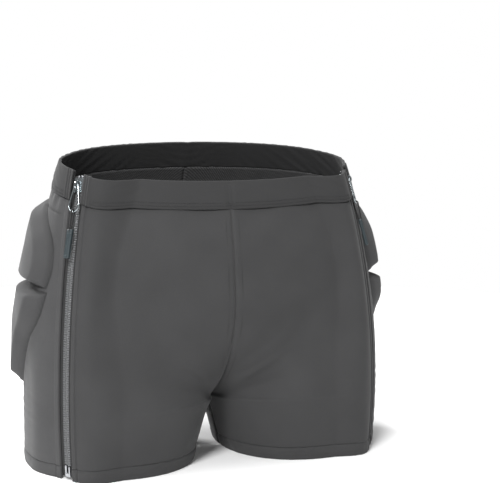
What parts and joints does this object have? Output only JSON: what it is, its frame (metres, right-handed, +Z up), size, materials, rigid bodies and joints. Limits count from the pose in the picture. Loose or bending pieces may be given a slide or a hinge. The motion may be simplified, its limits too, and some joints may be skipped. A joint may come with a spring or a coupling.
{
  "type": "padded impact shorts",
  "caption": "Stretch shorts with foam impact pads over seat, tailbone, hips and thighs, an elastic waistband and a full-length separating zip down each side.",
  "frame": {"origin": "middle of the leg hems at the level they stand on, half way through the width and the depth", "axes": "+X to the wearer's left, -Y to the wearer's front, +Z up"},
  "size_m": [0.429, 0.204, 0.3415],
  "materials": {
    "shell_fabric": "matt stretch knit, charcoal",
    "side_fabric": "matt stretch knit, charcoal, slightly lighter",
    "mesh_lining": "open knitted mesh",
    "elastic": "ribbed woven elastic",
    "foam": "closed-cell foam",
    "zip_tape": "woven tape",
    "zip_teeth": "moulded, grey, slight sheen",
    "zip_metal": "polished, nickel plated",
    "pull_cord": "braided cord",
    "pull_grip": "moulded, matt, dark teal grey"
  },
  "bodies": {
    "garment": {"front_panel_left": "shell_fabric", "front_panel_right": "shell_fabric", "back_panel_left": "side_fabric", "back_panel_right": "side_fabric", "lining_left": "mesh_lining", "lining_right": "mesh_lining", "leg_hem_front_left": "shell_fabric", "leg_hem_front_right": "shell_fabric", "leg_hem_back_left": "side_fabric", "leg_hem_back_right": "side_fabric", "waistband_front": "shell_fabric", "waist_elastic_front": "elastic", "waistband_back": "shell_fabric", "waist_elastic_back": "elastic", "tailbone_pad": "foam", "seat_pad_left": "foam", "seat_pad_right": "foam", "hip_pad_upper_left": "foam", "hip_pad_upper_right": "foam", "hip_pad_lower_left": "foam", "hip_pad_lower_right": "foam", "thigh_pad_left": "foam", "thigh_pad_right": "foam", "zip_tape_front_left": "zip_tape", "zip_tape_front_right": "zip_tape", "zip_teeth_front_left": "zip_teeth", "zip_teeth_front_right": "zip_teeth", "zip_top_stop_front_left": "zip_teeth", "zip_top_stop_front_right": "zip_teeth", "zip_tape_back_left": "zip_tape", "zip_tape_back_right": "zip_tape", "zip_teeth_back_left": "zip_teeth", "zip_teeth_back_right": "zip_teeth", "zip_top_stop_back_left": "zip_teeth", "zip_top_stop_back_right": "zip_teeth", "zip_box_left": "zip_metal", "zip_box_right": "zip_metal", "zip_pin_left": "zip_teeth", "zip_pin_right": "zip_teeth"},
    "slider_left": {"zip_slider_left": "zip_metal"},
    "ring_left": {"pull_ring_left": "zip_metal"},
    "grip_left": {"pull_loop_left": "pull_cord", "pull_grip_left": "pull_grip"},
    "slider_right": {"zip_slider_right": "zip_metal"},
    "ring_right": {"pull_ring_right": "zip_metal"},
    "grip_right": {"pull_loop_right": "pull_cord", "pull_grip_right": "pull_grip"}
  },
  "joints": [
    {"name": "slider_travel_left", "type": "hinge", "parent": "garment", "child": "slider_left", "pos_m": [-0.3982, 0.50029, 0.06598], "axis": [0.7071, 0.7071, 0], "range_deg": [0, 19.9]},
    {"name": "ring_swing_left", "type": "hinge", "parent": "slider_left", "child": "ring_left", "pos_m": [0.15369, -0.05019, 0.3019], "axis": [-0.5509, -0.8324, 0.0602], "range_deg": [0, 140]},
    {"name": "grip_swing_left", "type": "hinge", "parent": "ring_left", "child": "grip_left", "pos_m": [0.15943, -0.05593, 0.2751], "axis": [-0.5509, -0.8324, 0.0602], "range_deg": [0, 60]},
    {"name": "slider_travel_right", "type": "hinge", "parent": "garment", "child": "slider_right", "pos_m": [0.3982, 0.50029, 0.06598], "axis": [0.7071, -0.7071, 0], "range_deg": [0, 19.9]},
    {"name": "ring_swing_right", "type": "hinge", "parent": "slider_right", "child": "ring_right", "pos_m": [-0.15369, -0.05019, 0.3019], "axis": [-0.5509, 0.8324, -0.0602], "range_deg": [0, 140]},
    {"name": "grip_swing_right", "type": "hinge", "parent": "ring_right", "child": "grip_right", "pos_m": [-0.15943, -0.05593, 0.2751], "axis": [-0.5509, 0.8324, -0.0602], "range_deg": [0, 60]}
  ]
}
